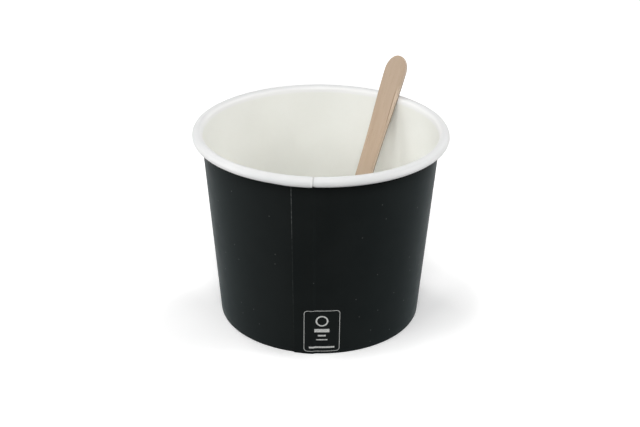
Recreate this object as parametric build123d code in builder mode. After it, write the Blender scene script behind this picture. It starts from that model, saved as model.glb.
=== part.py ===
from build123d import *
from math import asin, atan2, cos, degrees, hypot, radians, sin, sqrt, tan
import os

# A paper ice cream cup with a wooden spoon standing in it, in millimetres.
# The origin is the centre of the ring that the cup stands on, +Z is up, and the
# side seam of the wall is on the -Y side. Azimuths are in degrees from +X.

# Cup, overall
rim_diameter = 98.0  # across the outside of the rolled rim
base_diameter = 79.6  # across the foot, outside the wall
cup_height = 76.6  # from the table to the top of the rim
board = 0.42  # thickness of the coated paper board

# Rolled rim
curl_width = 3.95  # across the roll, from the inside of the wall outwards
curl_height = 3.5  # from the top of the rim to the underside of the roll
roll_turn = 170.0  # degrees from the outside of the roll round to its free edge

# Foot
floor_height = 7.0  # upper face of the bottom disc above the table
skirt_lift = 0.25  # the skirt's edge above the inside of the fold
hem_height = 5.6  # free edge of the hem above the table
seal = 0.03  # film of melted coating between two sealed faces

# Side seam: the wall's outer end laps over its inner end
seam_azimuth = -103.6  # outer raw edge, on the outside of the wall
seam_overlap = 10.0  # degrees from the outer raw edge to the inner one
seam_ramp = 2.0  # degrees over which the upper layer comes down to the lower
seam_root = 0.1  # depth at which the ramps run out inside the board

# Wooden spoon
spoon_length = 94.5
spoon_thickness = 1.8
spoon_bevel = 0.25  # small bevel along every edge
spoon_azimuth = 52.2  # where it leans on the rim
spoon_foot_radius = 9.4  # from the cup's axis to its foot on the disc
spoon_clearance = 0.05  # from the spoon to the disc and to the rim
paddle_width = 17.0
paddle_nose = 12.0  # from the foot to the widest part of the paddle
waist_width = 7.3
waist_station = 37.0  # from the foot to the narrowest place
middle_width = 8.1
middle_station = 64.0
handle_width = 9.7
handle_nose = 6.6  # length of the rounded handle end

# Rolled rim, worked out for the middle of the board's thickness.
# The lower half turn is tighter than the upper one, so the free edge ends inside.
curl_radius = (curl_width - board) / 2
roll_radius = curl_height - board - curl_radius
curl_axis_height = cup_height - board / 2 - curl_radius
curl_axis_radius = rim_diameter / 2 - curl_width / 2
curl_centre = (curl_axis_radius, curl_axis_height)
roll_centre = (curl_axis_radius + curl_radius - roll_radius, curl_axis_height)

# Conical wall: a line from the foot that runs tangent into the roll
foot_radius = base_diameter / 2 - board / 2
foot_height = board / 2
wall_rise = curl_axis_height - foot_height
wall_run = curl_axis_radius - foot_radius
taper = atan2(wall_run, wall_rise) - asin(curl_radius / hypot(wall_run, wall_rise))


def wall_radius(height, outwards=0.0):
    """Radius of the surface that lies outwards of the middle of the wall's board."""
    return foot_radius + (height - foot_height) * tan(taper) + outwards / cos(taper)


layer_pitch = board + seal  # from the middle of one sealed layer to the next
fold_radius = board  # outside of the bends at the foot, which are pressed sharp inside
curl_start = (
    curl_axis_radius - curl_radius * cos(taper),
    curl_axis_height + curl_radius * sin(taper),
)
wall_foot = (foot_radius, foot_height)
hem_foot = (wall_radius(foot_height, -2 * layer_pitch), foot_height)
hem_edge = (wall_radius(hem_height, -2 * layer_pitch), hem_height)


def section_at(azimuth):
    """Upright plane through the cup's axis: x is the radius, y is the height."""
    turn = radians(azimuth)
    return Plane(origin=(0, 0, 0), x_dir=(cos(turn), sin(turn), 0), z_dir=(sin(turn), -cos(turn), 0))


def wall_layer(azimuth, lift):
    """Section of the layer that lies on the wall's outside and under the foot."""
    top = curl_axis_height - roll_radius
    fold_middle = wall_radius(0, -layer_pitch)
    with BuildSketch(section_at(azimuth)) as layer:
        with BuildLine():
            FilletPolyline(
                (fold_middle, 0),
                (wall_radius(0, board / 2 + lift), 0),
                (wall_radius(top, board / 2 + lift), top),
                (wall_radius(top), top),
                wall_foot,
                (fold_middle, foot_height),
                radius=(0, fold_radius, 0, 0, 0, 0),
                close=True,
            )
        make_face()
    return layer.sketch


def curl_layer(azimuth, lift):
    """Section of the layer that shows on the roll: a crescent, thickest at its outside."""
    shift = (lift + seam_root) / 2
    growth = board / 2 + (lift - seam_root) / 2
    outer_curl = (curl_centre[0] + shift, curl_axis_height)
    outer_roll = (roll_centre[0] + shift, curl_axis_height)
    with BuildSketch(section_at(azimuth)) as layer:
        with BuildLine():
            face_upper = CenterArc(outer_curl, curl_radius + growth, 180, -180)
            face_lower = CenterArc(outer_roll, roll_radius + growth, 0, -roll_turn)
            root_lower = CenterArc(roll_centre, roll_radius, -roll_turn, roll_turn)
            root_upper = CenterArc(curl_centre, curl_radius, 0, 180)
            Line(face_lower @ 1, root_lower @ 0)
            Line(root_upper @ 1, face_upper @ 0)
        make_face()
    return layer.sketch


# Wall: one blank of board, with a hem folded up under the foot, a rolled rim
# and a lapped side seam. The outer layer of the lap shows on the wall, and the
# inner layer shows on the roll, because the roll turns the board's inside out.
with BuildPart() as cup_wall:
    with BuildSketch(Plane.XZ):
        with BuildLine():
            Polyline(hem_edge, hem_foot, wall_foot, curl_start)
            CenterArc(curl_centre, curl_radius, 180 - degrees(taper), degrees(taper) - 180)
            CenterArc(roll_centre, roll_radius, 0, -roll_turn)
        wall_section = trace(line_width=board)
        fillet(wall_section.vertices().group_by(Axis.Y)[0], fold_radius)
    revolve(axis=Axis.Z)

    inner_edge = seam_azimuth + seam_overlap
    revolve(wall_layer(seam_azimuth, board), axis=Axis.Z, revolution_arc=seam_overlap)
    loft([wall_layer(inner_edge, board), wall_layer(inner_edge + seam_ramp, -seam_root)], ruled=True)
    revolve(curl_layer(seam_azimuth, board), axis=Axis.Z, revolution_arc=seam_overlap)
    loft([curl_layer(seam_azimuth - seam_ramp, -seam_root), curl_layer(seam_azimuth, board)], ruled=True)
cup_wall.part.label = "cup_wall"

# Bottom: a flat disc whose edge turns down into a skirt between wall and hem
with BuildPart() as cup_bottom:
    disc_height = floor_height - board / 2
    skirt_edge = board + skirt_lift
    with BuildSketch(Plane.XZ):
        with BuildLine():
            Polyline(
                (0, disc_height),
                (wall_radius(disc_height, -layer_pitch), disc_height),
                (wall_radius(skirt_edge, -layer_pitch), skirt_edge),
            )
        disc_section = trace(line_width=board)
        fillet(disc_section.vertices().group_by(Axis.Y)[-1].sort_by(Axis.X)[-1], fold_radius)
    revolve(axis=Axis.Z)
cup_bottom.part.label = "cup_bottom"

# Spoon: its foot stands on the disc and its flat back leans on the rim.
# In the upright plane of its lean, its back is a line with the rim's inner arc
# on one side and the lowest corner of its bevelled foot on the other.
# The flat back bridges the round rim, so the arc is taken at the handle's edges.
rim_arc = curl_radius + board / 2
rim_arc_radius = sqrt(curl_axis_radius**2 - (handle_width / 2) ** 2)
corner_height = floor_height + spoon_clearance
lean_run = rim_arc_radius - spoon_foot_radius
lean_rise = curl_axis_height - corner_height
back_offset = rim_arc + spoon_clearance + spoon_bevel
lean = atan2(lean_run, lean_rise) - asin(back_offset / hypot(lean_run, lean_rise))

spoon_turn = radians(spoon_azimuth)
radial = Vector(cos(spoon_turn), sin(spoon_turn), 0)
upward = Vector(0, 0, 1)
spoon_axis = radial * sin(lean) + upward * cos(lean)
spoon_back = radial * cos(lean) - upward * sin(lean)
foot_corner = radial * spoon_foot_radius + upward * corner_height
spoon_foot = foot_corner + spoon_back * spoon_bevel

with BuildPart() as wooden_spoon:
    handle_start = spoon_length - handle_nose
    with BuildSketch(Plane(origin=spoon_foot, x_dir=spoon_axis, z_dir=-spoon_back)):
        with BuildLine():
            EllipticalCenterArc((paddle_nose, 0), paddle_nose, paddle_width / 2, 90, arc_size=90)
            Spline(
                (paddle_nose, paddle_width / 2),
                (waist_station, waist_width / 2),
                tangents=((1, 0), (1, 0)),
            )
            Spline(
                (waist_station, waist_width / 2),
                (middle_station, middle_width / 2),
                (handle_start, handle_width / 2),
                tangents=((1, 0), (1, 0)),
            )
            EllipticalCenterArc((handle_start, 0), handle_nose, handle_width / 2, 0, arc_size=90)
            mirror(about=Plane.XZ)
        make_face()
    extrude(amount=spoon_thickness)
    chamfer(wooden_spoon.faces().filter_by(GeomType.PLANE).edges(), length=spoon_bevel)
wooden_spoon.part.label = "wooden_spoon"

os.makedirs("parts", exist_ok=True)
export_step(cup_wall.part, "parts/cup_wall.step")
export_step(cup_bottom.part, "parts/cup_bottom.step")
export_step(wooden_spoon.part, "parts/wooden_spoon.step")
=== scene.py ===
import math

import bmesh
import bpy
from mathutils import Matrix, Vector


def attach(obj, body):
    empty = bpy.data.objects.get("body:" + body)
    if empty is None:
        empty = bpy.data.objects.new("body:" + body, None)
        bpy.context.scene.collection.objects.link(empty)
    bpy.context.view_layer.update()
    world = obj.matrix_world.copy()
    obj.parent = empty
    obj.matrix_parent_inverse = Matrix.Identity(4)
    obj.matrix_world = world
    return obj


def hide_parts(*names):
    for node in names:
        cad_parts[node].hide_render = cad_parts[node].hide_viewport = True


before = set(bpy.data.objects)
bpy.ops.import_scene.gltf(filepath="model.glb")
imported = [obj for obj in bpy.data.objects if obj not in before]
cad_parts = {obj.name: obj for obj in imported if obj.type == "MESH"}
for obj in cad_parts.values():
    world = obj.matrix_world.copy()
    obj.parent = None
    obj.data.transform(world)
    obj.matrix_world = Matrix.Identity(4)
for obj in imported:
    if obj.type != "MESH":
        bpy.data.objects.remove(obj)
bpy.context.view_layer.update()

# The wall is one blank of paper board, printed black outside and coated white inside.
# It is wrapped to a cone and lapped at the side seam. Its top is rolled outwards into
# the rim, and its foot is folded in and up as the hem that grips the bottom.
mm = 0.001  # the sizes are in millimetres and the turns in degrees
rim_diameter = 98.0
base_diameter = 79.6
cup_height = 76.6
board = 0.42
curl_width = 3.95
curl_height = 3.5
roll_turn = 170.0  # from the outside of the roll round to its free edge
hem_height = 5.6
seal = 0.03  # film of melted coating between wall, skirt and hem
lap_film = 0.005  # the same in the side seam
lap = board + lap_film
fold_inside = 0.03  # the bends at the foot are pressed almost sharp
fold_radius = board / 2 + fold_inside
seam_azimuth = -103.6  # the blank's first edge, which shows outside
seam_overlap = 10.0
seam_ramp = 2.0  # over which the wall's upper layer comes down to the lower one
roll_ramp = 6.0  # the same on the roll, where the other layer shows
notch = 0.2  # turn of the slit between the ends of the hem, which don't lap
edge_lead = 0.40  # how far the blank's last edge is cut past the lap
edge_drift = 0.037  # how far it comes back for each millimetre over the roll
slant_from = 2.0  # turn of the hidden lap at which its slant begins
whole_turn = 360.0
foot_z = board / 2

curl_radius = (curl_width - board) / 2
roll_radius = curl_height - board - curl_radius
curl_axis_z = cup_height - board / 2 - curl_radius
curl_axis_r = rim_diameter / 2 - curl_width / 2
roll_axis_r = curl_axis_r + curl_radius - roll_radius
foot_r = base_diameter / 2 - board / 2
wall_rise = curl_axis_z - foot_z
wall_run = curl_axis_r - foot_r
taper = math.atan2(wall_run, wall_rise) - math.asin(curl_radius / math.hypot(wall_run, wall_rise))
layer_pitch = board + seal


def wall_radius(height, outwards=0.0):
    """Radius of the face that lies outwards of the middle of the wall's board."""
    return foot_r + (height - foot_z) * math.tan(taper) + outwards / math.cos(taper)


def straight(start, end, steps):
    """A straight run of a section: radius, height, and where the printed face looks."""
    run = Vector(end) - Vector(start)
    facing = Vector((run.y, -run.x)).normalized()
    points = [Vector(start) + run * (i / steps) for i in range(steps + 1)]
    return [(p.x, p.y, facing.x, facing.y) for p in points]


def bend(centre, radius, first, turn, steps):
    """A bend of a section about a centre, anticlockwise where turn is positive."""
    side = math.copysign(1, turn)
    points = []
    for i in range(steps + 1):
        angle = first + turn * i / steps
        arm = Vector((math.cos(angle), math.sin(angle)))
        points.append((centre[0] + radius * arm.x, centre[1] + radius * arm.y, side * arm.x, side * arm.y))
    return points


def fold(corner, before, after, radius, steps):
    """A small bend where a section changes from one direction to another."""
    turn = math.atan2(before.x * after.y - before.y * after.x, before.dot(after))
    side = math.copysign(1, turn)
    start = Vector(corner) - before * (radius * math.tan(abs(turn) / 2))
    inwards = Vector((-before.y, before.x)) * side
    centre = start + inwards * radius
    first = math.atan2(-inwards.y, -inwards.x)
    return bend(centre, radius, first, turn, steps)


def joined(parts):
    """One section from its parts, each of which begins where the last one ends."""
    points = []
    for part in parts:
        points += part if not points else part[1:]
    return points


up_the_wall = Vector((math.sin(taper), math.cos(taper)))
level_out = Vector((1, 0))
hem_steps = 5
fold_steps = 6
under_steps = 3
wall_steps = 18
curl_steps = 24
roll_steps = 20
raised_on_top = 0.18  # share of the lap by which the seam stands up on top of the roll
raised_outside = 0.42  # what comes to it at the outside of the roll


def wall_section(moved, shares):
    """Middle of the board from hem to roll. The wall is moved outwards by that much,
    and the roll by shares: 0 keeps it, 1 moves it by a whole lap to its inside."""
    hem = Vector((wall_radius(hem_height, -2 * layer_pitch), hem_height))
    inner_fold = Vector((wall_radius(foot_z, -2 * layer_pitch), foot_z))
    outer_fold = Vector((wall_radius(foot_z, moved), foot_z))
    first_bend = fold(inner_fold, -up_the_wall, level_out, fold_radius, fold_steps)
    second_bend = fold(outer_fold, level_out, up_the_wall, fold_radius, fold_steps)
    top = (
        curl_axis_r - curl_radius * math.cos(taper) + moved / math.cos(taper),
        curl_axis_z + curl_radius * math.sin(taper),
    )
    section = joined([
        straight(hem, first_bend[0][:2], hem_steps),
        first_bend,
        straight(first_bend[-1][:2], second_bend[0][:2], under_steps),
        second_bend,
        straight(second_bend[-1][:2], top, wall_steps),
    ])
    roll = joined([
        bend((curl_axis_r, curl_axis_z), curl_radius, math.pi - taper, taper - math.pi, curl_steps),
        bend((roll_axis_r, curl_axis_z), roll_radius, 0, -math.radians(roll_turn), roll_steps),
    ])
    for r, z, face_r, face_z in roll[1:]:
        raised = max(0.0, raised_on_top - raised_outside * face_r)
        shift = lap * shares(raised)
        section.append((r + face_r * shift, z + face_z * shift, face_r, face_z))
    return section


plain_section = wall_section(0.0, lambda raised: 0.0)
outer_section = wall_section(lap, lambda raised: 1.0 - raised)
inner_section = wall_section(0.0, lambda raised: -raised)
notch_row = hem_steps + fold_steps + under_steps + fold_steps
first_roll_row = notch_row + wall_steps

# The blank's last edge is cut a little off square, which shows where it crosses the roll.
run_of_row = [0.0]
for low_point, high_point in zip(plain_section, plain_section[1:]):
    run_of_row.append(run_of_row[-1] + math.dist(low_point[:2], high_point[:2]))
roll_start = run_of_row[first_roll_row]
mean_radius = (rim_diameter + base_diameter) / 4
edge_slants = []
for run in run_of_row:
    off_square = edge_lead - edge_drift * max(0.0, run - roll_start)
    edge_slants.append(math.degrees(off_square / mean_radius))
edge_on_sheet = (math.radians(seam_overlap) * mean_radius + edge_lead + edge_drift * roll_start) * mm


def put(tree, kind, feeds=None, **settings):
    """One node of a tree. feeds gives its inputs, by name or number: values or outputs."""
    node = tree.nodes.new(kind)
    for name, value in settings.items():
        setattr(node, name, value)
    for key, value in (feeds or {}).items():
        if isinstance(key, int):
            socket = node.inputs[key]
        else:
            socket = [s for s in node.inputs if s.name == key and s.enabled][0]
        if isinstance(value, bpy.types.NodeSocket):
            tree.links.new(value, socket)
        else:
            socket.default_value = value
    return node


def out(node, name=None):
    """The output of a node that is in use, or the one of that name."""
    return [s for s in node.outputs if s.enabled and (name is None or s.name == name)][0]


def sums(tree, operation, first, second=0.0, third=0.0):
    """A Math node's result."""
    return put(tree, "ShaderNodeMath", {0: first, 1: second, 2: third}, operation=operation).outputs[0]


def product(tree, value, *others):
    """Values multiplied with each other."""
    for other in others:
        value = sums(tree, "MULTIPLY", value, other)
    return value


def section_mesh(name, plain, outer, inner):
    """The section as a line of points, with the two lapped sections stored on them."""
    mesh = bpy.data.meshes.new(name)
    flat = [Vector((r, 0, z)) * mm for r, z, _, _ in plain]
    mesh.from_pydata(flat, [(i, i + 1) for i in range(len(flat) - 1)], [])
    for label, values in (
        ("facing", [(a, 0, b) for _, _, a, b in plain]),
        ("outer lap", [(r * mm, 0, z * mm) for r, z, _, _ in outer]),
        ("inner lap", [(r * mm, 0, z * mm) for r, z, _, _ in inner]),
    ):
        store = mesh.attributes.new(label, "FLOAT_VECTOR", "POINT")
        for item, value in zip(store.data, values):
            item.vector = value
    run = 0.0
    store = mesh.attributes.new("along", "FLOAT", "POINT")
    for i, item in enumerate(store.data):
        if i:
            run += (flat[i] - flat[i - 1]).length
        item.value = run
    return bpy.data.objects.new(name, mesh)


def blank_mesh(name, turns, slants):
    """The flat blank: x is the turn round the cup in degrees, y the row of the section.
    slants holds, for each row, how far the blank's last edge is cut off its turn."""
    mesh = bpy.data.meshes.new(name)
    count = len(turns)
    rows = len(slants)
    points = []
    for row, slant in enumerate(slants):
        for turn in turns:
            share = max(0.0, (turn - whole_turn - slant_from) / (seam_overlap - slant_from))
            points.append((turn + slant * share, row, 0))
    faces = []
    for row in range(rows - 1):
        for i in range(count - 1):
            low = row * count + i
            faces.append((low, low + 1, low + count + 1, low + count))
    mesh.from_pydata(points, [], faces)
    blank = bpy.data.objects.new(name, mesh)
    bpy.context.scene.collection.objects.link(blank)
    return blank


def forming_tree():
    """Geometry nodes that form a flat blank into the round: each column of the blank is
    set at its turn, each row at its point of the section, and the board gets its thickness."""
    tree = bpy.data.node_groups.new("form board in the round", "GeometryNodeTree")
    face = tree.interface
    face.new_socket("Geometry", in_out="INPUT", socket_type="NodeSocketGeometry")
    face.new_socket("Section", in_out="INPUT", socket_type="NodeSocketObject")
    for name in ("Board", "Start", "Overlap", "Ramp", "Roll ramp", "Notch turn", "Notch row", "Mean radius"):
        face.new_socket(name, in_out="INPUT", socket_type="NodeSocketFloat")
    for name in ("Outside", "Inside", "Raw edge"):
        face.new_socket(name, in_out="INPUT", socket_type="NodeSocketMaterial")
    face.new_socket("Geometry", in_out="OUTPUT", socket_type="NodeSocketGeometry")
    size = put(tree, "NodeGroupInput").outputs
    section = put(tree, "GeometryNodeObjectInfo", {"Object": size["Section"]}).outputs["Geometry"]
    place = put(tree, "GeometryNodeInputPosition").outputs[0]
    turn, row, _ = put(tree, "ShaderNodeSeparateXYZ", {0: place}).outputs

    def sampled(label, kind):
        """What the section holds at this row."""
        value = put(tree, "GeometryNodeInputNamedAttribute", {"Name": label}, data_type=kind)
        feeds = {"Geometry": section, "Value": out(value, "Attribute"), "Index": row}
        return out(put(tree, "GeometryNodeSampleIndex", feeds, data_type=kind, domain="POINT"))

    def blended(share, first, second):
        """From first to second by share."""
        feeds = {"Factor": share, "A": first, "B": second}
        return out(put(tree, "ShaderNodeMix", feeds, data_type="VECTOR"))

    def smooth_step(low, high):
        """From 0 to 1 as the turn goes from low to high."""
        feeds = {"Value": turn, "From Min": low, "From Max": high}
        return out(put(tree, "ShaderNodeMapRange", feeds, interpolation_type="SMOOTHSTEP"))

    ramp_end = sums(tree, "ADD", size["Overlap"], size["Ramp"])
    ramp_start = sums(tree, "SUBTRACT", whole_turn, size["Roll ramp"])
    plain_share = smooth_step(size["Overlap"], ramp_end)
    inner_share = smooth_step(ramp_start, whole_turn)
    middle = blended(plain_share, sampled("outer lap", "FLOAT_VECTOR"), sampled("position", "FLOAT_VECTOR"))
    middle = blended(inner_share, middle, sampled("inner lap", "FLOAT_VECTOR"))
    half_board = product(tree, size["Board"], 0.5)
    facing = sampled("facing", "FLOAT_VECTOR")
    around = sums(tree, "RADIANS", sums(tree, "ADD", turn, size["Start"]))

    def rounded(vector):
        """A section point taken round the axis to its turn."""
        feeds = {"Vector": vector, "Axis": (0, 0, 1), "Angle": around}
        return put(tree, "ShaderNodeVectorRotate", feeds, rotation_type="AXIS_ANGLE").outputs[0]

    def face_of(operation):
        """A face of the board, half its thickness from the middle."""
        step = put(tree, "ShaderNodeVectorMath", {0: facing, "Scale": half_board}, operation="SCALE")
        moved = put(tree, "ShaderNodeVectorMath", {0: middle, 1: step.outputs[0]}, operation=operation)
        return rounded(moved.outputs[0])

    printed = face_of("ADD")
    coated = face_of("SUBTRACT")
    spread = product(tree, sums(tree, "RADIANS", turn), size["Mean radius"])
    flat = put(tree, "ShaderNodeCombineXYZ", {0: spread, 1: sampled("along", "FLOAT")}).outputs[0]
    past_notch = sums(tree, "GREATER_THAN", turn, size["Notch turn"])
    below_notch = sums(tree, "LESS_THAN", row, size["Notch row"])
    cut_away = product(tree, past_notch, below_notch)

    def stored(sheet, label, value, kind="FLOAT_VECTOR", domain="POINT"):
        """The sheet with a value kept on it under that name."""
        feeds = {"Geometry": sheet, "Name": label, "Value": value}
        store = put(tree, "GeometryNodeStoreNamedAttribute", feeds, data_type=kind, domain=domain)
        return store.outputs[0]

    def kept(label):
        """The place that was stored on each point."""
        value = put(tree, "GeometryNodeInputNamedAttribute", {"Name": label}, data_type="FLOAT_VECTOR")
        return out(value, "Attribute")

    sheet = stored(size["Geometry"], "sheet", flat, "FLOAT2", "CORNER")
    sheet = stored(sheet, "coated", coated)
    sheet = stored(sheet, "printed", printed)
    feeds = {"Geometry": sheet, "Selection": cut_away}
    sheet = put(tree, "GeometryNodeDeleteGeometry", feeds, domain="FACE").outputs[0]
    weld = 1e-6
    sheet = put(tree, "GeometryNodeSetPosition", {"Geometry": sheet, "Position": kept("printed")}).outputs[0]
    sheet = put(tree, "GeometryNodeMergeByDistance", {"Geometry": sheet, "Distance": weld}).outputs[0]
    pushed = put(tree, "GeometryNodeExtrudeMesh", {"Mesh": sheet, "Offset Scale": 0.0, "Individual": False})
    back = put(
        tree,
        "GeometryNodeSetPosition",
        {"Geometry": pushed.outputs["Mesh"], "Selection": pushed.outputs["Top"], "Position": kept("coated")},
    ).outputs[0]
    back = put(tree, "GeometryNodeFlipFaces", {"Mesh": back}).outputs[0]
    join = put(tree, "GeometryNodeJoinGeometry")
    tree.links.new(back, join.inputs[0])
    tree.links.new(sheet, join.inputs[0])
    feeds = {"Geometry": join.outputs[0], "Distance": weld}
    shell = put(tree, "GeometryNodeMergeByDistance", feeds).outputs[0]
    shell = put(tree, "GeometryNodeSetShadeSmooth", {"Geometry": shell}).outputs[0]
    shell = put(tree, "GeometryNodeRealizeInstances", {"Geometry": shell}).outputs[0]
    for faces, material in ((None, "Outside"), ("Top", "Inside"), ("Side", "Raw edge")):
        feeds = {"Geometry": shell, "Material": size[material]}
        if faces:
            feeds["Selection"] = pushed.outputs[faces]
        shell = put(tree, "GeometryNodeSetMaterial", feeds).outputs[0]
    tree.links.new(shell, put(tree, "NodeGroupOutput").inputs[0])
    return tree


sharp_from = math.radians(40)


def formed(name, blank, section, sizes):
    """The blank after forming, as a plain mesh at the origin."""
    bpy.context.scene.collection.objects.link(section)
    press = blank.modifiers.new("form", "NODES")
    press.node_group = board_forming
    sockets = {s.name: s.identifier for s in board_forming.interface.items_tree if s.in_out == "INPUT"}
    for label, value in dict(sizes, Section=section).items():
        press[sockets[label]] = value
    depsgraph = bpy.context.evaluated_depsgraph_get()
    mesh = bpy.data.meshes.new_from_object(
        blank.evaluated_get(depsgraph), preserve_all_data_layers=True, depsgraph=depsgraph
    )
    for label in ("coated", "printed"):
        mesh.attributes.remove(mesh.attributes[label])
    mesh.set_sharp_from_angle(angle=sharp_from)
    mesh.name = name
    piece = bpy.data.objects.new(name, mesh)
    bpy.context.scene.collection.objects.link(piece)
    for spare in (blank, section):
        bpy.data.objects.remove(spare)
    return piece


def surface(name, **constants):
    """A material with one shader, whose even values are set on its own sockets."""
    material = bpy.data.materials.new(name)
    material.use_nodes = True
    tree = material.node_tree
    tree.nodes.clear()
    shader = put(tree, "ShaderNodeBsdfPrincipled")
    for label, value in constants.items():
        shader.inputs[label.replace("_", " ")].default_value = value
    put(tree, "ShaderNodeOutputMaterial", {"Surface": shader.outputs[0]})
    return material, tree, shader


def grain(tree, where, scale, detail=2.0, roughness=0.5):
    """Noise at a place on the piece, with that many waves to the metre."""
    feeds = {"Vector": where, "Scale": scale, "Detail": detail, "Roughness": roughness}
    return put(tree, "ShaderNodeTexNoise", feeds).outputs[0]


def ranged(tree, value, low, high, to_low=0.0, to_high=1.0):
    """A value taken from one range to another, held at its ends."""
    feeds = {"Value": value, "From Min": low, "From Max": high, "To Min": to_low, "To Max": to_high}
    return out(put(tree, "ShaderNodeMapRange", feeds))


def toned(tree, share, first, second):
    """A colour between two, by share."""
    feeds = {"Factor": share, "A": first, "B": second}
    return out(put(tree, "ShaderNodeMix", feeds, data_type="RGBA"))


def relief(tree, shader, heights):
    """Bumps laid over each other: height, strength and depth in metres."""
    normal = None
    for height, strength, depth in heights:
        feeds = {"Height": height, "Strength": strength, "Distance": depth}
        if normal:
            feeds["Normal"] = normal
        normal = put(tree, "ShaderNodeBump", feeds).outputs[0]
    tree.links.new(normal, shader.inputs["Normal"])


def black_print():
    """Flood of satin black ink on board: cloudy, over the paper's tooth, with dust on it.
    Left of the seam it is painted lighter, a painted highlight band. Beside the raw edge it is paler, partly
    rubbed and partly a painted highlight, and it is rubbed along the foot."""
    material, tree, shader = surface(
        "satin_black_print",
        IOR=1.46,
        Specular_IOR_Level=0.014,
        Sheen_Weight=0.085,
        Sheen_Roughness=0.58,
        Sheen_Tint=(0.66, 0.91, 0.96, 1.0),
    )
    where = put(tree, "ShaderNodeTexCoord").outputs["Object"]
    height = put(tree, "ShaderNodeSeparateXYZ", {0: where}).outputs[2]
    sheet = put(tree, "ShaderNodeUVMap", uv_map="sheet").outputs[0]
    from_cut, up_the_sheet, _ = put(tree, "ShaderNodeSeparateXYZ", {0: sheet}).outputs
    cloud = ranged(tree, grain(tree, where, 70.0, 3.0), 0.35, 0.65)
    ink = toned(tree, cloud, (0.0054, 0.0058, 0.0054, 1), (0.0074, 0.0079, 0.0074, 1))
    # Painted highlight: a broad band on the left, up to the seam, is painted lighter.
    thin = product(
        tree,
        ranged(tree, from_cut, 0.226, 0.248),
        ranged(tree, from_cut, 0.250, 0.279, 0.45, 0.20),
    )
    ink = toned(tree, thin, ink, (0.0165, 0.0175, 0.0170, 1))
    tooth = grain(tree, where, 2600.0, 3.0, 0.6)
    fibre = grain(tree, where, 900.0, 4.0, 0.65)

    # Paler beside the seam's raw edge, partly rubbed ink and partly a painted highlight where the edge
    # catches light; rubbed paler along the fold under the foot.
    edge_line = sums(tree, "MULTIPLY_ADD", up_the_sheet, -0.005, from_cut)
    edge_rub_and_highlight = product(
        tree,
        ranged(tree, edge_line, -0.00012, 0.0),
        ranged(tree, edge_line, 0.00012, 0.00024, 1.0, 0.0),
        ranged(tree, fibre, 0.36, 0.64, 0.10, 0.50),
        ranged(tree, height, 0.049, 0.058, 0.30, 1.0),
        ranged(tree, height, 0.004, 0.030, 0.25, 1.0),
    )
    fold_rub = product(
        tree,
        ranged(tree, height, 0.00005, 0.0006, 1.0, 0.0),
        ranged(tree, fibre, 0.55, 0.72, 0.0, 0.35),
    )
    rub_and_edge_highlight = sums(tree, "MAXIMUM", edge_rub_and_highlight, fold_rub)
    colour = toned(tree, rub_and_edge_highlight, ink, (0.195, 0.205, 0.200, 1))

    # About four in ten of these cells hold a speck of dust.
    cell = put(
        tree,
        "ShaderNodeTexVoronoi",
        {"Vector": sheet, "Scale": 110.0, "Randomness": 1.0},
        voronoi_dimensions="2D",
    )
    near = ranged(tree, cell.outputs["Distance"], 0.010, 0.034, 1.0, 0.0)
    chosen = put(tree, "ShaderNodeSeparateColor", {0: cell.outputs["Color"]}).outputs[0]
    chosen = sums(tree, "GREATER_THAN", chosen, 0.62)
    colour = toned(tree, product(tree, near, chosen, 0.13), colour, (0.5, 0.5, 0.48, 1))
    tree.links.new(colour, shader.inputs["Base Color"])
    rough = ranged(tree, grain(tree, where, 240.0, 3.0), 0.3, 0.7, 0.34, 0.42)
    rough = sums(tree, "ADD", rough, product(tree, rub_and_edge_highlight, 0.3))
    tree.links.new(rough, shader.inputs["Roughness"])
    relief(tree, shader, [(fibre, 0.35, 0.00002), (tooth, 0.25, 0.000006)])
    return material


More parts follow.
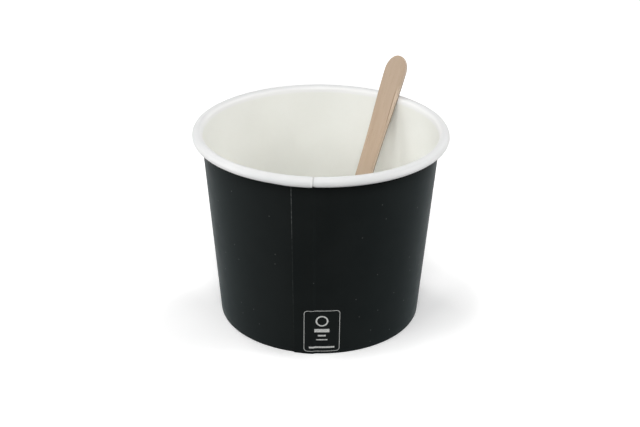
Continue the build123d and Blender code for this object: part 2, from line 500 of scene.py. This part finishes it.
def white_coating():
    """Coated white board: a faint warm mottle, soft sheen and slight tooth. On the roll light and shade are
    painted: it is painted whiter inside and low at the sides, and greyer outside, behind and low in front."""
    material, tree, shader = surface("white_coated_board", IOR=1.5, Specular_IOR_Level=0.42)
    where = put(tree, "ShaderNodeTexCoord").outputs["Object"]
    beside, backwards, height = put(tree, "ShaderNodeSeparateXYZ", {0: where}).outputs
    mottle = ranged(tree, grain(tree, where, 55.0, 4.0), 0.35, 0.65)
    speckle = product(tree, ranged(tree, grain(tree, where, 700.0, 3.0), 0.3, 0.7), 0.10)
    colour = toned(tree, mottle, (0.924, 0.930, 0.884, 1), (0.944, 0.949, 0.908, 1))
    colour = toned(tree, speckle, colour, (0.87, 0.865, 0.82, 1))

    # The roll carries painted light and shade: its height above the table and its radius tell its inside
    # from its outside.
    flat = put(tree, "ShaderNodeVectorMath", {0: where, 1: (1, 1, 0)}, operation="MULTIPLY").outputs[0]
    radius = put(tree, "ShaderNodeVectorMath", {0: flat}, operation="LENGTH").outputs["Value"]
    # Painted light: the upper half of the roll is painted whiter.
    colour = toned(tree, ranged(tree, height, 0.0736, 0.0746), colour, (0.960, 0.962, 0.958, 1))
    on_roll = ranged(tree, height, 0.0715, 0.0735)
    # Painted shade: the outside of the roll is painted greyer, and greyer still behind the cup.
    painted_shade_outside_roll = product(tree, on_roll, ranged(tree, radius, 0.0454, 0.0464))
    colour = toned(tree, painted_shade_outside_roll, colour, (0.852, 0.857, 0.853, 1))
    behind = product(tree, painted_shade_outside_roll, ranged(tree, backwards, 0.010, 0.035))
    colour = toned(tree, behind, colour, (0.788, 0.789, 0.789, 1))
    low_down = product(
        tree,
        on_roll,
        ranged(tree, height, 0.0751, 0.0761, 1.0, 0.0),
        ranged(tree, radius, 0.0468, 0.0476),
    )
    off_middle = sums(tree, "ABSOLUTE", beside)
    # Painted light: low on the roll at the sides it is painted whiter.
    painted_light_low_at_side = product(tree, low_down, ranged(tree, off_middle, 0.018, 0.032))
    colour = toned(tree, painted_light_low_at_side, colour, (0.966, 0.967, 0.962, 1))
    # Painted shade: low on the roll in front it is painted greyer.
    painted_shade_low_in_front = product(
        tree,
        low_down,
        ranged(tree, backwards, -0.030, -0.006, 0.8, 0.0),
        ranged(tree, off_middle, 0.014, 0.028, 1.0, 0.0),
    )
    colour = toned(tree, painted_shade_low_in_front, colour, (0.800, 0.810, 0.805, 1))

    # The seam on the roll: painted shade in the crease beside the blank's last edge, and a painted highlight
    # on its lip.
    sheet = put(tree, "ShaderNodeUVMap", uv_map="sheet").outputs[0]
    from_cut, up_the_sheet, _ = put(tree, "ShaderNodeSeparateXYZ", {0: sheet}).outputs
    past_edge = sums(tree, "ADD", from_cut, product(tree, up_the_sheet, edge_drift))
    past_edge = sums(tree, "SUBTRACT", past_edge, edge_on_sheet)
    # Painted shade in the crease beside the edge.
    painted_crease_shade = product(
        tree,
        ranged(tree, past_edge, -0.0001, 0.0001),
        ranged(tree, past_edge, 0.0003, 0.0006, 1.0, 0.0),
        on_roll,
        0.30,
    )
    colour = toned(tree, painted_crease_shade, colour, (0.36, 0.37, 0.37, 1))
    # Painted highlight on the lip of the blank's last edge, low in front.
    past_end = sums(tree, "SUBTRACT", past_edge, math.tau * mean_radius * mm)
    painted_lip_highlight = product(tree, ranged(tree, past_end, -0.00060, -0.00045), painted_shade_low_in_front, 0.9)
    colour = toned(tree, painted_lip_highlight, colour, (0.950, 0.955, 0.945, 1))
    tree.links.new(colour, shader.inputs["Base Color"])
    rough = ranged(tree, grain(tree, where, 190.0, 3.0), 0.3, 0.7, 0.38, 0.50)
    tree.links.new(rough, shader.inputs["Roughness"])
    ripple = grain(tree, where, 160.0, 2.0)
    tooth = grain(tree, where, 1500.0, 3.0, 0.6)
    relief(tree, shader, [(ripple, 0.20, 0.00006), (tooth, 0.25, 0.000012)])
    return material


def paper_core():
    """Cut edge of the board: bare pulp, in layers, with loose fibres."""
    material, tree, shader = surface("cut_paper_core", IOR=1.45, Specular_IOR_Level=0.2)
    where = put(tree, "ShaderNodeTexCoord").outputs["Object"]
    fibre = ranged(tree, grain(tree, where, 3500.0, 4.0, 0.7), 0.3, 0.7)
    colour = toned(tree, fibre, (0.50, 0.47, 0.41, 1), (0.78, 0.76, 0.70, 1))
    tree.links.new(colour, shader.inputs["Base Color"])
    tree.links.new(ranged(tree, fibre, 0.0, 1.0, 0.75, 0.95), shader.inputs["Roughness"])
    relief(tree, shader, [(fibre, 0.5, 0.00003)])
    return material


board_forming = forming_tree()
outside_print = black_print()
white_board = white_coating()
raw_edge = paper_core()

# The blank's columns stand closer at its cut edges and on the two ramps.
whole_degrees = [float(i) for i in range(1, int(seam_overlap))]
ramp_steps = 8
open_steps = 230
open_start = seam_overlap + seam_ramp
open_end = whole_turn - roll_ramp
lap_turns = [0.0, 0.1, 0.25, 0.5] + whole_degrees + [seam_overlap - 0.5, seam_overlap - 0.2]
ramp_turns = [seam_overlap + seam_ramp * i / ramp_steps for i in range(ramp_steps + 1)]
open_turns = [open_start + (open_end - open_start) * i / open_steps for i in range(1, open_steps)]
second_ramp = [open_end + roll_ramp * i / ramp_steps for i in range(ramp_steps)]
second_ramp += [whole_turn - notch, whole_turn]
hidden_turns = [whole_turn + turn for turn in whole_degrees]
hidden_turns += [whole_turn + seam_overlap - gap for gap in (0.5, 0.2, 0.05, 0.0)]
wall_turns = sorted(set(lap_turns + ramp_turns + open_turns + second_ramp + hidden_turns))

wall = formed(
    "cup_wall_sheet",
    blank_mesh("wall_blank", wall_turns, edge_slants),
    section_mesh("wall_section", plain_section, outer_section, inner_section),
    {
        "Board": board * mm,
        "Start": seam_azimuth,
        "Overlap": seam_overlap,
        "Ramp": seam_ramp,
        "Roll ramp": roll_ramp,
        "Notch turn": whole_turn - notch,
        "Notch row": float(notch_row),
        "Mean radius": mean_radius * mm,
        "Outside": outside_print,
        "Inside": white_board,
        "Raw edge": raw_edge,
    },
)
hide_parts("cup_wall")
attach(wall, "root")

# The bottom is a round blank of the same board, white on both faces. A tool presses it
# flat with a shallow ring near its edge, and turns the edge down into a skirt that is
# sealed between the wall and the hem.
floor_height = 7.0
skirt_lift = 0.25
disc_z = floor_height - board / 2
skirt_steps = 5
plain_radii = [0.0, 2.0, 5.0, 9.0, 13.0, 17.0, 21.0, 25.0, 29.0, 32.0]
ring_radius = 35.6
ring_width = 2.4
ring_depth = 0.30
ring_steps = 8
rim_of_disc = 38.4  # flat up to here, where the edge turns down


def disc_section():
    """Middle of the board from the centre out, over the pressed ring and down the skirt."""
    corner = Vector((wall_radius(disc_z, -layer_pitch), disc_z))
    edge_z = board + skirt_lift
    edge = (wall_radius(edge_z, -layer_pitch), edge_z)
    turned = fold(corner, level_out, -up_the_wall, fold_radius, fold_steps)
    ring_start = ring_radius - ring_width
    radii = plain_radii + [ring_start + ring_width * i / ring_steps for i in range(2 * ring_steps + 1)]
    pressed = []
    for r in radii + [rim_of_disc]:
        across = (r - ring_radius) / ring_width
        drop = 0.0
        slope = 0.0
        if abs(across) < 1:
            drop = ring_depth * (1 + math.cos(math.pi * across)) / 2
            slope = ring_depth * math.pi * math.sin(math.pi * across) / (2 * ring_width)
        facing = Vector((slope, -1)).normalized()
        pressed.append((r, disc_z - drop, facing.x, facing.y))
    return pressed + joined([turned, straight(turned[-1][:2], edge, skirt_steps)])


bottom_section = disc_section()
disc_steps = 160
disc_turns = [whole_turn * i / disc_steps for i in range(disc_steps + 1)]
bottom = formed(
    "cup_bottom_disc",
    blank_mesh("bottom_blank", disc_turns, [0.0] * len(bottom_section)),
    section_mesh("bottom_section", bottom_section, bottom_section, bottom_section),
    {
        "Board": board * mm,
        "Start": 0.0,
        "Overlap": 0.0,
        "Ramp": 1.0,
        "Roll ramp": 1.0,
        "Notch turn": 2 * whole_turn,
        "Notch row": 0.0,
        "Mean radius": base_diameter / 4 * mm,
        "Outside": white_board,
        "Inside": white_board,
        "Raw edge": raw_edge,
    },
)
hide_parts("cup_bottom")
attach(bottom, "root")

# The mark on the outside is one colour of off-white ink, printed low on the wall beside
# the seam. It is a plain rounded frame with a ring and bars, and stands for no words.
panel_azimuth = -88.5  # its middle
panel_low = 1.24  # its foot above the table
panel_width = 13.5
panel_height = 18.64
panel_line = 0.2
panel_corner = 1.3
ink_film = 0.02
ink_gap = 0.004  # from the board to the ink's underside, so that the two never touch
mark_radius = 2.1
mark_line = 0.55
mark_height = 13.9
mark_sides = 40
bars = (  # place above the panel's foot, length and width
    (9.6, 5.6, 1.5),
    (7.3, 3.0, 0.7),
    (5.4, 4.2, 0.45),
    (1.9, 9.6, 0.75),
)


def smooth(share):
    """An even step from 0 to 1."""
    held = min(1.0, max(0.0, share))
    return held * held * (3 - 2 * held)


def on_the_wall(across, above, lifted):
    """A point of the panel on the printed face, in millimetres across and above its foot."""
    height = panel_low + above * math.cos(taper)
    azimuth = panel_azimuth + math.degrees(across / wall_radius(height, board / 2))
    turn = azimuth - seam_azimuth
    layer = lap * (1 - smooth((turn - seam_overlap) / seam_ramp))
    radius = wall_radius(height, board / 2 + layer + lifted)
    angle = math.radians(azimuth)
    return Vector((radius * math.cos(angle), radius * math.sin(angle), height)) * mm


def round_frame(width, height, corner, steps=8):
    """A closed rounded frame about (0, 0)."""
    path = []
    for first, x, y in ((0, 1, 1), (90, -1, 1), (180, -1, -1), (270, 1, -1)):
        for i in range(steps + 1):
            angle = math.radians(first + 90 * i / steps)
            path.append(Vector((
                x * (width / 2 - corner) + corner * math.cos(angle),
                y * (height / 2 - corner) + corner * math.sin(angle),
            )))
    return path


def finer(path, closed, longest=0.45):
    """The same path with no step longer than that."""
    points = []
    ends = path[1:] + path[:1] if closed else path[1:]
    for a, b in zip(path, ends):
        steps = max(1, math.ceil((b - a).length / longest))
        points += [a + (b - a) * (i / steps) for i in range(steps)]
    return points if closed else points + [path[-1]]


def ink_line(build, path, width, centre, closed):
    """A line of ink with its own small thickness, laid along a path on the wall."""
    path = finer(path, closed)
    count = len(path)
    rows = []
    for i, point in enumerate(path):
        before = path[i - 1] if closed or i else point
        after = path[(i + 1) % count] if closed or i + 1 < count else point
        side = Vector((after.y - before.y, before.x - after.x)).normalized() * (width / 2)
        row = []
        for where, lifted in ((side, ink_film), (-side, ink_film), (-side, ink_gap), (side, ink_gap)):
            spot = point + where + Vector(centre)
            row.append(build.verts.new(on_the_wall(spot.x, spot.y, lifted)))
        rows.append(row)
    pairs = list(zip(rows, rows[1:] + rows[:1])) if closed else list(zip(rows, rows[1:]))
    for first, second in pairs:
        for k in range(4):
            build.faces.new((first[k], first[(k + 1) % 4], second[(k + 1) % 4], second[k]))
    if not closed:
        build.faces.new(rows[0])
        build.faces.new(rows[-1])


build = bmesh.new()
middle_height = panel_height / 2
frame_path = round_frame(panel_width - panel_line, panel_height - panel_line, panel_corner)
ink_line(build, frame_path, panel_line, (0, middle_height), True)
mark_path = []
for i in range(mark_sides):
    angle = math.tau * i / mark_sides
    mark_path.append(Vector((math.cos(angle), math.sin(angle))) * mark_radius)
ink_line(build, mark_path, mark_line, (0, mark_height), True)
for bar_height, bar_length, bar_width in bars:
    ends = [Vector((-bar_length / 2, 0)), Vector((bar_length / 2, 0))]
    ink_line(build, ends, bar_width, (0, bar_height), False)
bmesh.ops.recalc_face_normals(build, faces=build.faces)
panel_mesh = bpy.data.meshes.new("printed_panel")
build.to_mesh(panel_mesh)
build.free()
panel = bpy.data.objects.new("printed_panel", panel_mesh)
bpy.context.scene.collection.objects.link(panel)


def white_ink():
    """Off-white ink on the black: a little thin and uneven over the paper's tooth."""
    material, tree, shader = surface("off_white_ink", IOR=1.46, Specular_IOR_Level=0.3)
    where = put(tree, "ShaderNodeTexCoord").outputs["Object"]
    thin = ranged(tree, grain(tree, where, 1800.0, 3.0, 0.6), 0.32, 0.62)
    colour = toned(tree, thin, (0.46, 0.47, 0.46, 1), (0.72, 0.73, 0.71, 1))
    tree.links.new(colour, shader.inputs["Base Color"])
    tree.links.new(ranged(tree, thin, 0.0, 1.0, 0.60, 0.48), shader.inputs["Roughness"])
    relief(tree, shader, [(grain(tree, where, 2600.0, 3.0, 0.6), 0.25, 0.000006)])
    return material


panel_mesh.materials.append(white_ink())
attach(panel, "root")

# The spoon is stamped from a flat birch veneer, with its edges rounded by tumbling. Its
# wide foot stands on the bottom and its flat back leans on the rolled rim.
spoon_length = 94.5
spoon_thickness = 1.8
spoon_bevel = 0.25
spoon_rounding = 0.34  # of the edges that show, where the CAD has its bevel
spoon_azimuth = 52.2
spoon_foot_radius = 9.4
spoon_clearance = 0.05
paddle_width = 17.0
paddle_nose = 12.0
waist_width = 7.3
waist_station = 37.0
middle_width = 8.1
middle_station = 64.0
handle_width = 9.7
handle_nose = 6.6
handle_start = spoon_length - handle_nose

rim_arc = curl_radius + board / 2
rim_arc_r = math.sqrt(curl_axis_r**2 - (handle_width / 2) ** 2)
foot_corner_z = floor_height + spoon_clearance
lean_run = rim_arc_r - spoon_foot_radius
lean_rise = curl_axis_z - foot_corner_z
back_offset = rim_arc + spoon_clearance + spoon_bevel
lean = math.atan2(lean_run, lean_rise) - math.asin(back_offset / math.hypot(lean_run, lean_rise))
spoon_turn = math.radians(spoon_azimuth)
radial = Vector((math.cos(spoon_turn), math.sin(spoon_turn), 0))
upright = Vector((0, 0, 1))
spoon_axis = radial * math.sin(lean) + upright * math.cos(lean)
spoon_back = radial * math.cos(lean) - upright * math.sin(lean)
spoon_foot = radial * spoon_foot_radius + upright * foot_corner_z + spoon_back * spoon_bevel
spoon_side = (-spoon_back).cross(spoon_axis)


def eased(start, end, slope_in, slope_out, run, s):
    """Half width at share s of a smooth run between two stations, with a slope at each."""
    return (
        start * (2 * s**3 - 3 * s**2 + 1)
        + slope_in * run * (s**3 - 2 * s**2 + s)
        + end * (3 * s**2 - 2 * s**3)
        + slope_out * run * (s**3 - s**2)
    )


outline_steps = 16  # on each of the five runs of an edge


def quarter_turn(i):
    """The angle of one of the points of a rounded end."""
    return math.pi / 2 * i / outline_steps


def spoon_outline():
    """Right-hand edge from foot to tip: distance along the spoon and half width."""
    low_run = middle_station - waist_station
    high_run = handle_start - middle_station
    low_rise = (middle_width - waist_width) / 2
    high_rise = (handle_width - middle_width) / 2
    slope = 1.5 * (low_rise / low_run**2 + high_rise / high_run**2) / (1 / low_run + 1 / high_run)
    edge = []
    for angle in [quarter_turn(i) for i in range(outline_steps)]:
        edge.append((paddle_nose * (1 - math.cos(angle)), paddle_width / 2 * math.sin(angle)))
    for start, run, width, next_width, slope_in, slope_out in (
        (paddle_nose, waist_station - paddle_nose, paddle_width, waist_width, 0, 0),
        (waist_station, low_run, waist_width, middle_width, 0, slope),
        (middle_station, high_run, middle_width, handle_width, slope, 0),
    ):
        for share in [i / outline_steps for i in range(outline_steps)]:
            half_width = eased(width / 2, next_width / 2, slope_in, slope_out, run, share)
            edge.append((start + run * share, half_width))
    for angle in [quarter_turn(i) for i in range(outline_steps + 1)]:
        edge.append((handle_start + handle_nose * math.sin(angle), handle_width / 2 * math.cos(angle)))
    return edge


right_edge = [Vector(point) for point in spoon_outline()]
left_edge = [Vector((point.x, -point.y)) for point in right_edge[1:-1]]
loop = right_edge + left_edge[::-1]
loop_count = len(loop)
tip = len(right_edge) - 1
inward = []
for i, point in enumerate(loop):
    before = loop[i - 1]
    after = loop[(i + 1) % loop_count]
    inward.append(Vector((after.y - before.y, before.x - after.x)).normalized())
round_steps = 4
edge_profile = []
for i in range(round_steps + 1):
    angle = math.pi / 2 * i / round_steps
    edge_profile.append((spoon_rounding * (1 - math.sin(angle)), spoon_rounding * (1 - math.cos(angle))))
edge_profile += [(d, spoon_thickness - h) for d, h in reversed(edge_profile)]


def in_the_cup(along, across, through):
    """A point of the spoon where it stands: through is measured from its back face."""
    spot = spoon_foot + spoon_axis * along + spoon_side * across - spoon_back * through
    return spot * mm


build = bmesh.new()
cut = build.verts.layers.float_vector.new("cut")
from_edge = build.verts.layers.float.new("from_edge")


def wood_point(along, across, through, inset):
    """A vertex of the spoon. It keeps its place in the veneer and its distance from
    the outline, both in metres."""
    vert = build.verts.new(in_the_cup(along, across, through))
    vert[cut] = Vector((across, along, through)) * mm
    vert[from_edge] = inset * mm
    return vert


rings = []
for inset, through in edge_profile:
    ring = []
    for point, into in zip(loop, inward):
        spot = point + into * inset
        ring.append(wood_point(spot.x, spot.y, through, inset))
    rings.append(ring)
for low, high in zip(rings, rings[1:]):
    for i in range(loop_count):
        j = (i + 1) % loop_count
        build.faces.new((low[i], low[j], high[j], high[i]))
cross_steps = 6
for ring in (rings[0], rings[-1]):
    rows = []
    for i in range(1, tip):
        right = ring[i]
        left = ring[loop_count - i]
        row = [right]
        for k in range(1, cross_steps):
            share = k / cross_steps
            vert = build.verts.new(right.co.lerp(left.co, share))
            vert[cut] = right[cut].lerp(left[cut], share)
            vert[from_edge] = right[from_edge] + (right.co - left.co).length * min(share, 1 - share)
            row.append(vert)
        rows.append(row + [left])
    for first, second in zip(rows, rows[1:]):
        for k in range(cross_steps):
            build.faces.new((first[k], first[k + 1], second[k + 1], second[k]))
    for end, row in ((ring[0], rows[0]), (ring[tip], rows[-1])):
        for k in range(cross_steps):
            build.faces.new((end, row[k], row[k + 1]))
bmesh.ops.recalc_face_normals(build, faces=build.faces)
for face in build.faces:
    face.smooth = True
spoon_mesh = bpy.data.meshes.new("birch_spoon")
build.to_mesh(spoon_mesh)
build.free()
spoon = bpy.data.objects.new("birch_spoon", spoon_mesh)
bpy.context.scene.collection.objects.link(spoon)


def birch():
    """Birch veneer: bands, long fine fibres, pores and soft pale patches. Its cut sides and a strip where
    the right one turns into the front are painted lighter as painted light; the stamp has pressed its
    corners and turned them brown, and painted shade darkens them further."""
    material, tree, shader = surface("birch_veneer", IOR=1.45, Specular_IOR_Level=0.25)
    where = put(tree, "ShaderNodeAttribute", attribute_name="cut").outputs["Vector"]
    across, along, through = put(tree, "ShaderNodeSeparateXYZ", {0: where}).outputs

    def stretched(wide, long, deep, turn=0.0):
        """The place in the veneer, drawn out along the grain."""
        feeds = {"Vector": where, "Rotation": (0, 0, turn), "Scale": (wide, long, deep)}
        return put(tree, "ShaderNodeMapping", feeds).outputs[0]

    bands = ranged(tree, grain(tree, stretched(1, 0.05, 1), 420.0, 3.0, 0.55), 0.3, 0.7)
    fibres = ranged(tree, grain(tree, stretched(1, 0.02, 1), 4200.0, 3.0, 0.6), 0.3, 0.7)
    pores = ranged(tree, grain(tree, stretched(1, 0.03, 1), 6500.0, 2.0, 0.5), 0.64, 0.74)
    patches = ranged(tree, grain(tree, stretched(1, 0.22, 1, 0.42), 150.0, 2.0), 0.38, 0.62)
    colour = toned(tree, bands, (0.528, 0.405, 0.302, 1), (0.487, 0.363, 0.262, 1))
    colour = toned(tree, product(tree, fibres, 0.22), colour, (0.433, 0.314, 0.217, 1))
    colour = toned(tree, product(tree, patches, 0.42), colour, (0.600, 0.475, 0.366, 1))
    colour = toned(tree, product(tree, pores, 0.55), colour, (0.30, 0.19, 0.12, 1))

    # Painted light: the cut sides are painted lighter against their shade, and a strip where the right one
    # turns into the front is painted lighter.
    depth = product(tree, through, 1 / mm)
    side = product(
        tree,
        ranged(tree, depth, 1.50, 1.60, 1.0, 0.0),
        ranged(tree, depth, 0.30, 0.55),
        0.9,
    )
    colour = toned(tree, side, colour, (0.72, 0.59, 0.47, 1))
    inset = put(tree, "ShaderNodeAttribute", attribute_name="from_edge").outputs["Fac"]
    inset = sums(tree, "SUBTRACT", inset, ranged(tree, along, 0.066, 0.078, 0.0, 0.0007))
    on_right = product(
        tree,
        ranged(tree, across, -0.001, 0.001, 1.0, 0.0),
        ranged(tree, depth, 1.5, 1.7),
    )
    # Painted light: this lighter strip stands for a lit side face.
    pale = product(
        tree,
        on_right,
        ranged(tree, inset, 0.00022, 0.00034, 0.9, 0.0),
        ranged(tree, along, 0.064, 0.070),
        ranged(tree, along, 0.079, 0.083, 1.0, 0.0),
    )
    colour = toned(tree, pale, colour, (0.66, 0.53, 0.41, 1))

    # A dark line beside the strip, partly pressed and partly painted shade of the rounded corner, and the
    # corner at the back, turned brown and painted darker as shade.
    corner = product(
        tree,
        ranged(tree, inset, 0.00030, 0.00042),
        ranged(tree, inset, 0.00070, 0.00085, 1.0, 0.0),
        on_right,
        ranged(tree, grain(tree, stretched(0.2, 0.12, 0.2), 420.0, 2.0), 0.40, 0.60, 0.30, 0.80),
        ranged(tree, along, 0.064, 0.069, 0.25, 1.0),
        ranged(tree, along, 0.079, 0.082, 1.0, 0.0),
    )
    # Painted shade on the rounded corner at the back.
    painted_back_corner_shade = product(
        tree,
        ranged(tree, depth, 0.55, 0.95, 0.90, 0.0),
        ranged(tree, along, 0.080, 0.088, 1.0, 0.4),
    )
    browned_and_shaded = sums(tree, "MAXIMUM", corner, painted_back_corner_shade)
    colour = toned(tree, browned_and_shaded, colour, (0.26, 0.17, 0.11, 1))
    tree.links.new(colour, shader.inputs["Base Color"])
    tree.links.new(ranged(tree, fibres, 0.0, 1.0, 0.55, 0.72), shader.inputs["Roughness"])
    relief(tree, shader, [(fibres, 0.35, 0.00002), (pores, -0.4, 0.00004)])
    return material


spoon_mesh.materials.append(birch())
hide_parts("wooden_spoon")
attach(spoon, "root")

# The cup stands on a plain white floor in a white world. Light bounces off the floor as
# off a grey one. The camera and shiny faces see it white, with the cup's soft shadow: one
# compact pool on each side, a deeper line in front of the foot, and nothing far away.
half_floor = 3.0
corners = [(x * half_floor, y * half_floor, 0) for x, y in ((-1, -1), (1, -1), (1, 1), (-1, 1))]
floor_mesh = bpy.data.meshes.new("floor")
floor_mesh.from_pydata(corners, [], [(0, 1, 2, 3)])
floor = bpy.data.objects.new("floor", floor_mesh)
bpy.context.scene.collection.objects.link(floor)

bounce_grey = 0.45
paint_white = 0.96
own_glow = 0.31  # comes to the lamps' light, so that the white floor renders white
contact_shade = 0.27  # goes from it in front of the foot
shadow_lift = 0.13  # comes to it outside the two pools of shadow
right_pool = (0.038, 0.004, 0)
right_reach = 0.025
left_pool = (-0.039, -0.014, 0)
left_reach = 0.024
pool_blur = 0.010


def seen_white(tree):
    """1 for a ray from the camera or off a shiny or clear face, 0 for light that bounces."""
    rays = put(tree, "ShaderNodeLightPath").outputs
    seen = sums(tree, "MAXIMUM", rays["Is Camera Ray"], rays["Is Glossy Ray"])
    return sums(tree, "MAXIMUM", seen, rays["Is Transmission Ray"])


def matt(tree, grey):
    """A matt paint."""
    return put(tree, "ShaderNodeBsdfDiffuse", {"Color": (grey, grey, grey, 1)}).outputs[0]


def glow(tree, strength):
    """An even white glow."""
    return put(tree, "ShaderNodeEmission", {"Color": (1, 1, 1, 1), "Strength": strength}).outputs[0]


def between(tree, share, first, second):
    """One finish turning into another by share."""
    return put(tree, "ShaderNodeMixShader", {0: share, 1: first, 2: second}).outputs[0]


def white_floor():
    """White paint that keeps the cup's shadow near the foot and is even white far away."""
    material = bpy.data.materials.new("white_floor")
    material.use_nodes = True
    tree = material.node_tree
    tree.nodes.clear()
    where = put(tree, "ShaderNodeTexCoord").outputs["Object"]
    beside, behind, _ = put(tree, "ShaderNodeSeparateXYZ", {0: where}).outputs
    away = put(tree, "ShaderNodeVectorMath", {0: where}, operation="LENGTH").outputs["Value"]

    # In front of the foot the contact shadow is deeper.
    blocked = put(tree, "ShaderNodeAmbientOcclusion", {"Distance": 0.030}).outputs["AO"]
    blocked = product(
        tree,
        ranged(tree, blocked, 0.3, 1.0, contact_shade, 0.0),
        ranged(tree, behind, -0.045, -0.028),
        ranged(tree, behind, -0.002, 0.016, 1.0, 0.0),
    )

    # Outside the two pools the faint shadow is lifted, but not behind the cup.
    lifted = product(tree, ranged(tree, away, 0.043, 0.053), shadow_lift)
    for pool, reach in ((right_pool, right_reach), (left_pool, left_reach)):
        feeds = {0: where, 1: pool}
        spread = put(tree, "ShaderNodeVectorMath", feeds, operation="DISTANCE").outputs["Value"]
        lifted = product(tree, lifted, ranged(tree, spread, reach, reach + pool_blur))
    off_middle = ranged(tree, sums(tree, "ABSOLUTE", beside), 0.036, 0.056)
    not_behind = ranged(tree, behind, -0.020, 0.005, 1.0, 0.0)
    lifted = product(tree, lifted, sums(tree, "MAXIMUM", off_middle, not_behind))

    strength = sums(tree, "ADD", sums(tree, "SUBTRACT", own_glow, blocked), lifted)
    lit = put(tree, "ShaderNodeAddShader", {0: matt(tree, paint_white), 1: glow(tree, strength)}).outputs[0]
    lit = between(tree, ranged(tree, away, 0.40, 0.70), lit, glow(tree, 1.0))
    finish = between(tree, seen_white(tree), matt(tree, bounce_grey), lit)
    put(tree, "ShaderNodeOutputMaterial", {"Surface": finish})
    return material


floor_mesh.materials.append(white_floor())

world = bpy.data.worlds.new("studio")
bpy.context.scene.world = world
world.use_nodes = True
tree = world.node_tree
tree.nodes.clear()
sky = put(tree, "ShaderNodeBackground", {"Color": (1, 1, 1, 1), "Strength": seen_white(tree)}).outputs[0]
put(tree, "ShaderNodeOutputWorld", {"Surface": sky})

# Eight square soft lamps stand on a dome round the cup, six low and two high. Their
# powers were fitted to the tones of the photograph with pictures of each lamp alone.
lamp_distance = 1.35
lamp_size = 0.5
low_lamps = 28
high_lamps = 50
lamp_aim = Vector((0, 0, 0.05))


def softbox(name, azimuth, elevation, power):
    """A lamp that looks at the cup from that azimuth and elevation, with its power in watts."""
    data = bpy.data.lights.new(name, "AREA")
    data.shape = "SQUARE"
    data.size = lamp_size
    data.energy = power
    box = bpy.data.objects.new(name, data)
    bpy.context.scene.collection.objects.link(box)
    turn, rise = math.radians(azimuth), math.radians(elevation)
    flat = Vector((math.cos(turn), math.sin(turn), 0)) * math.cos(rise)
    box.location = (flat + Vector((0, 0, math.sin(rise)))) * lamp_distance
    box.rotation_euler = (lamp_aim - box.location).to_track_quat("-Z", "Y").to_euler()


softbox("front", -90, low_lamps, 1.8)
softbox("front_left", -135, low_lamps, 4.4)
softbox("front_right", -45, low_lamps, 1.3)
softbox("left", 180, low_lamps, 3.3)
softbox("right_behind", 45, low_lamps, 2.9)
softbox("right", 0, low_lamps, 5.1)
softbox("high_front", -90, high_lamps, 6.1)
softbox("high_left_behind", 135, high_lamps, 4.3)

# The camera stands in front of the seam and looks down into the cup. Its place was
# found by fitting the outlines of the rim, the wall and the foot in the photograph.
lens_length = 65.46
sensor_width = 36.0
camera_distance = 0.45925
camera_rise = math.radians(26.05)
camera_roll = 0.009552
aim = Vector((-0.000066, 0, 0.039757))
back = Vector((0, -math.cos(camera_rise), math.sin(camera_rise)))
level_up = Vector((0, math.sin(camera_rise), math.cos(camera_rise)))
level_right = Vector((1, 0, 0))
right = level_right * math.cos(camera_roll) + level_up * math.sin(camera_roll)
up = level_up * math.cos(camera_roll) - level_right * math.sin(camera_roll)
camera_data = bpy.data.cameras.new("camera")
camera_data.lens = lens_length
camera_data.sensor_width = sensor_width
camera_data.sensor_fit = "HORIZONTAL"
camera_data.clip_start = 0.01
camera_data.clip_end = 20.0
camera = bpy.data.objects.new("camera", camera_data)
bpy.context.scene.collection.objects.link(camera)
camera.matrix_world = Matrix.Translation(aim + back * camera_distance) @ Matrix(
    (right, up, back)
).transposed().to_4x4()
bpy.context.scene.camera = camera
bpy.context.scene.view_settings.view_transform = "Standard"
